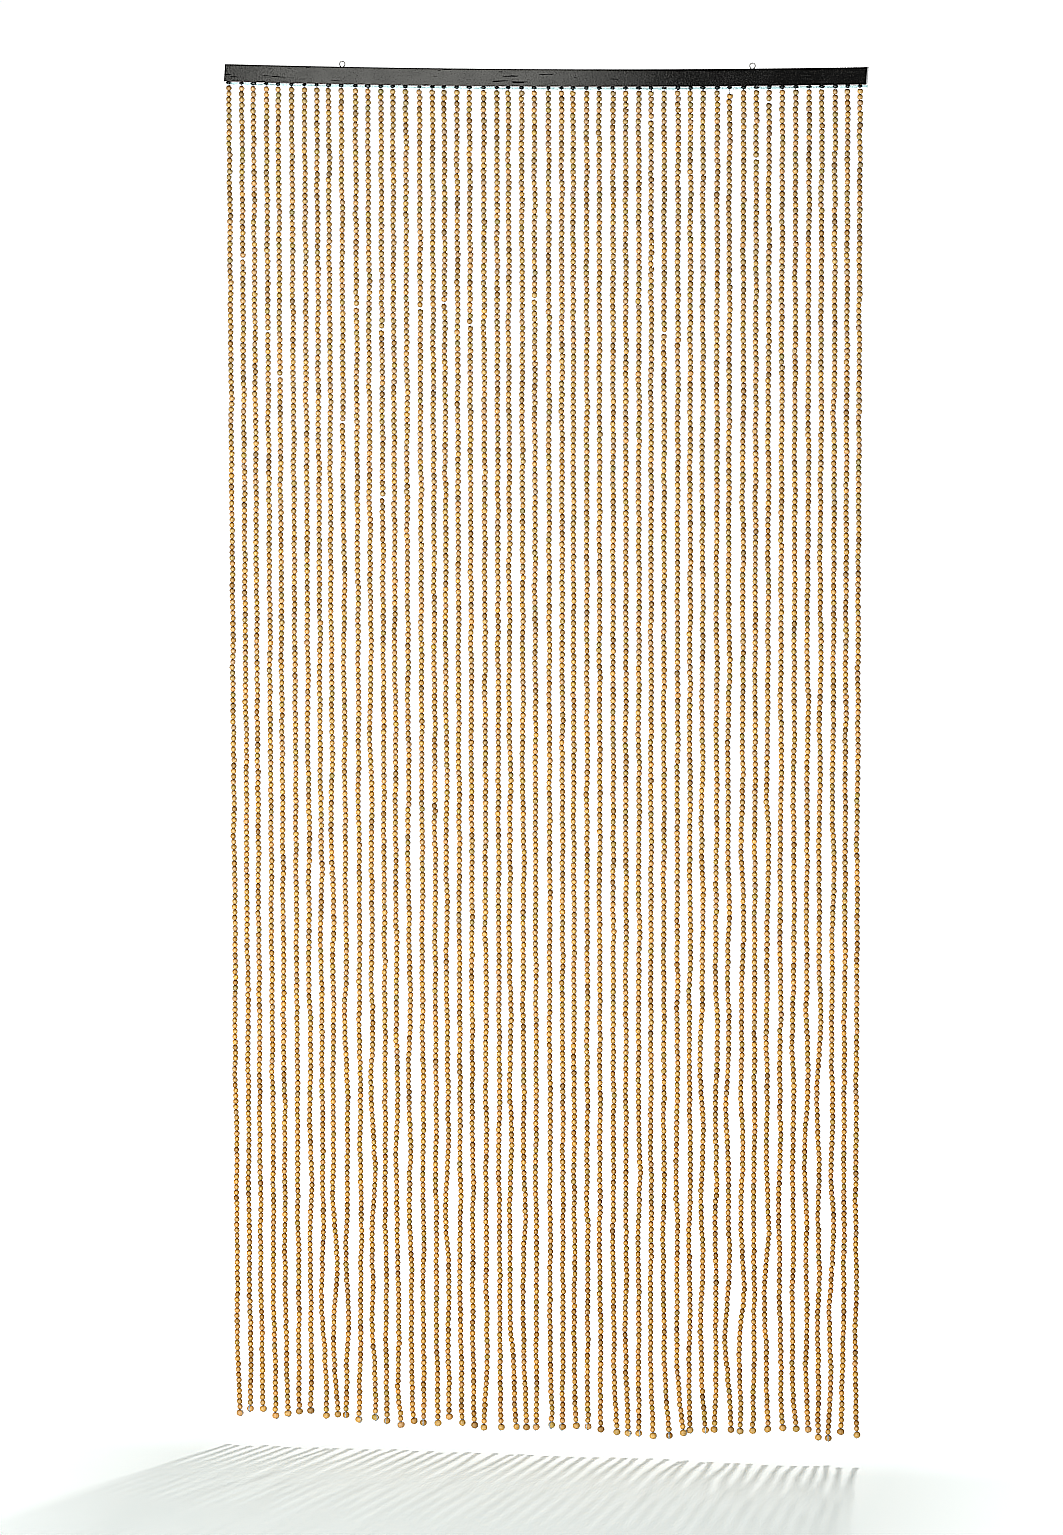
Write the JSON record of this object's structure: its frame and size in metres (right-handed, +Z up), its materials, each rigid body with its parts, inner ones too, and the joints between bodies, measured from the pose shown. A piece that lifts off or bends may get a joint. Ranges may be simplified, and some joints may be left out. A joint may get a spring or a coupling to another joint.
{
  "type": "bead curtain on a wooden rail",
  "caption": "String curtain of small turned wooden beads for a doorway, hung from a dark painted wooden rail with two wire eyes.",
  "frame": {"origin": "middle of the line between the rail's two upper corners, half way through its depth, where the two eyes hold the curtain up", "axes": "+X along the rail to the right as seen from the front, +Z up, the front faces -Y"},
  "size_m": [0.9015, 0.019, 1.9321],
  "materials": {
    "rail_paint": "satin",
    "eye_wire": "satin",
    "beads": "satin",
    "nylon": "gloss"
  },
  "bodies": {
    "root": {"rail": "rail_paint", "eye_left": "eye_wire", "eye_right": "eye_wire", "strings": "beads"}
  },
  "joints": []
}
